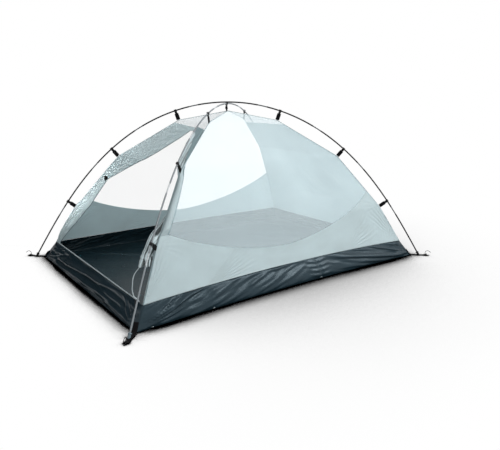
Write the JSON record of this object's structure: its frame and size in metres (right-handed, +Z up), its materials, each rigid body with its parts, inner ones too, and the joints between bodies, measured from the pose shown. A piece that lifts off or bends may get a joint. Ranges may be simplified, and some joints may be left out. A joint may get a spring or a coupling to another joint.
{
  "type": "backpacking tent",
  "caption": "Free-standing dome inner tent: crossing bent poles, clip-on canopy of nylon and mesh, bathtub floor, and an end door rolled back and tied beside one corner.",
  "frame": {"origin": "on the ground under the middle of the tent, at the bottom centre of the bounding box", "axes": "+Z up; +Y along the floor's length towards the closed far end; the door end faces -Y; +X to the right seen from the door"},
  "size_m": [1.6942, 2.3032, 1.0595],
  "materials": {
    "pole_grey": "dark grey anodised, satin",
    "tub_nylon": "coated dark blue-grey nylon",
    "wall_nylon": "thin light blue-grey nylon",
    "white_mesh": "fine white insect mesh",
    "black_plastic": "moulded black",
    "black_webbing": "woven black webbing",
    "grey_plastic": "moulded grey",
    "steel_wire": "bright bent wire",
    "zip_grey": "light grey tape"
  },
  "bodies": {
    "tent": {"back_left_socket": "grey_plastic", "back_left_strap": "black_webbing", "back_right_socket": "grey_plastic", "back_right_strap": "black_webbing", "door_corner_tab": "black_webbing", "door_tie": "zip_grey", "door_wall_nylon": "wall_nylon", "door_wall_peak_mesh": "white_mesh", "far_wall_nylon": "wall_nylon", "far_wall_peak_mesh": "white_mesh", "front_left_socket": "grey_plastic", "front_left_strap": "black_webbing", "front_right_socket": "grey_plastic", "front_right_strap": "black_webbing", "gathered_door": "wall_nylon", "left_wall_mesh": "white_mesh", "left_wall_nylon": "wall_nylon", "lower_pole_section_1": "pole_grey", "lower_pole_section_2": "pole_grey", "lower_pole_section_3": "pole_grey", "lower_pole_section_4": "pole_grey", "lower_pole_section_5": "pole_grey", "lower_pole_section_6": "pole_grey", "lower_pole_section_7": "pole_grey", "lower_pole_section_8": "pole_grey", "lower_pole_section_9": "pole_grey", "right_wall_mesh": "white_mesh", "right_wall_nylon": "wall_nylon", "sill_zip": "zip_grey", "tub_floor": "tub_nylon", "upper_pole_section_1": "pole_grey", "upper_pole_section_2": "pole_grey", "upper_pole_section_3": "pole_grey", "upper_pole_section_4": "pole_grey", "upper_pole_section_5": "pole_grey", "upper_pole_section_6": "pole_grey", "upper_pole_section_7": "pole_grey", "upper_pole_section_8": "pole_grey", "upper_pole_section_9": "pole_grey", "zip_tail": "zip_grey"},
    "front_left_clip_1": {"front_left_clip_1": "black_plastic"},
    "front_left_clip_2": {"front_left_clip_2": "black_plastic"},
    "front_left_clip_3": {"front_left_clip_3": "black_plastic"},
    "front_right_clip_1": {"front_right_clip_1": "black_plastic"},
    "front_right_clip_2": {"front_right_clip_2": "black_plastic"},
    "front_right_clip_3": {"front_right_clip_3": "black_plastic"},
    "back_right_clip_1": {"back_right_clip_1": "black_plastic"},
    "back_right_clip_2": {"back_right_clip_2": "black_plastic"},
    "back_right_clip_3": {"back_right_clip_3": "black_plastic"},
    "back_left_clip_1": {"back_left_clip_1": "black_plastic"},
    "back_left_clip_2": {"back_left_clip_2": "black_plastic"},
    "back_left_clip_3": {"back_left_clip_3": "black_plastic"},
    "peak_clip": {"peak_clip": "black_plastic"},
    "front_left_hook": {"front_left_hook": "steel_wire"},
    "front_right_hook": {"front_right_hook": "steel_wire"},
    "back_right_hook": {"back_right_hook": "steel_wire"},
    "back_left_hook": {"back_left_hook": "steel_wire"},
    "zip_slider": {"zip_slider": "black_plastic"},
    "zip_pull": {"zip_pull": "black_plastic"},
    "door_toggle": {"door_toggle": "black_plastic"}
  },
  "joints": [
    {"name": "front_left_clip_1_swing", "type": "hinge", "parent": "tent", "child": "front_left_clip_1", "pos_m": [-0.18997, -0.26595, 0.94088], "axis": [-0.5519, -0.7726, -0.3138], "range_deg": [0, 80]},
    {"name": "front_left_clip_2_swing", "type": "hinge", "parent": "tent", "child": "front_left_clip_2", "pos_m": [-0.42961, -0.60145, 0.70267], "axis": [-0.4412, -0.6176, -0.6511], "range_deg": [0, 80]},
    {"name": "front_left_clip_3_swing", "type": "hinge", "parent": "tent", "child": "front_left_clip_3", "pos_m": [-0.60934, -0.85307, 0.35636], "axis": [-0.3388, -0.4743, -0.8126], "range_deg": [0, 80]},
    {"name": "front_right_clip_1_swing", "type": "hinge", "parent": "tent", "child": "front_right_clip_1", "pos_m": [0.19148, -0.26807, 0.93937], "axis": [-0.5521, 0.7729, 0.3129], "range_deg": [0, 80]},
    {"name": "front_right_clip_2_swing", "type": "hinge", "parent": "tent", "child": "front_right_clip_2", "pos_m": [0.43195, -0.60472, 0.69816], "axis": [-0.4421, 0.6189, 0.6493], "range_deg": [0, 80]},
    {"name": "front_right_clip_3_swing", "type": "hinge", "parent": "tent", "child": "front_right_clip_3", "pos_m": [0.61159, -0.85623, 0.35023], "axis": [-0.3408, 0.4771, 0.8101], "range_deg": [0, 80]},
    {"name": "back_right_clip_1_swing", "type": "hinge", "parent": "tent", "child": "back_right_clip_1", "pos_m": [0.18997, 0.26595, 0.94088], "axis": [0.5519, 0.7726, -0.3138], "range_deg": [0, 80]},
    {"name": "back_right_clip_2_swing", "type": "hinge", "parent": "tent", "child": "back_right_clip_2", "pos_m": [0.42961, 0.60145, 0.70267], "axis": [0.4412, 0.6176, -0.6511], "range_deg": [0, 80]},
    {"name": "back_right_clip_3_swing", "type": "hinge", "parent": "tent", "child": "back_right_clip_3", "pos_m": [0.60934, 0.85307, 0.35636], "axis": [0.3388, 0.4743, -0.8126], "range_deg": [0, 80]},
    {"name": "back_left_clip_1_swing", "type": "hinge", "parent": "tent", "child": "back_left_clip_1", "pos_m": [-0.19148, 0.26807, 0.93937], "axis": [0.5521, -0.7729, 0.3129], "range_deg": [0, 80]},
    {"name": "back_left_clip_2_swing", "type": "hinge", "parent": "tent", "child": "back_left_clip_2", "pos_m": [-0.43195, 0.60472, 0.69816], "axis": [0.4421, -0.6189, 0.6493], "range_deg": [0, 80]},
    {"name": "back_left_clip_3_swing", "type": "hinge", "parent": "tent", "child": "back_left_clip_3", "pos_m": [-0.61159, 0.85623, 0.35023], "axis": [0.3408, -0.4771, 0.8101], "range_deg": [0, 80]},
    {"name": "peak_clip_swing", "type": "hinge", "parent": "tent", "child": "peak_clip", "pos_m": [0.01333, -0.01866, 0.99744], "axis": [-0.5811, 0.8135, 0.0221], "range_deg": [0, 80]},
    {"name": "front_left_hook_tilt", "type": "hinge", "parent": "tent", "child": "front_left_hook", "pos_m": [-0.82584, -1.13064, 0.0086], "axis": [-0.7004, 0.7137, 0], "range_deg": [-2, 50]},
    {"name": "front_right_hook_tilt", "type": "hinge", "parent": "tent", "child": "front_right_hook", "pos_m": [0.82584, -1.13064, 0.0086], "axis": [-0.7004, -0.7137, 0], "range_deg": [-2, 50]},
    {"name": "back_right_hook_tilt", "type": "hinge", "parent": "tent", "child": "back_right_hook", "pos_m": [0.82584, 1.13064, 0.0086], "axis": [0.7004, -0.7137, 0], "range_deg": [-2, 50]},
    {"name": "back_left_hook_tilt", "type": "hinge", "parent": "tent", "child": "back_left_hook", "pos_m": [-0.82584, 1.13064, 0.0086], "axis": [0.7004, 0.7137, 0], "range_deg": [-2, 50]},
    {"name": "zip_run", "type": "slide", "parent": "tent", "child": "zip_slider", "axis": [1, 0, 0], "range_m": [-1.24, 0]},
    {"name": "zip_pull_lift", "type": "hinge", "parent": "zip_slider", "child": "zip_pull", "pos_m": [0.631, -0.98581, 0.11195], "axis": [-1, 0, 0], "range_deg": [0, 100]},
    {"name": "toggle_turn", "type": "hinge", "parent": "tent", "child": "door_toggle", "pos_m": [0.60551, -0.87921, 0.3], "axis": [1, 0, 0], "range_deg": [-80, 80]}
  ]
}
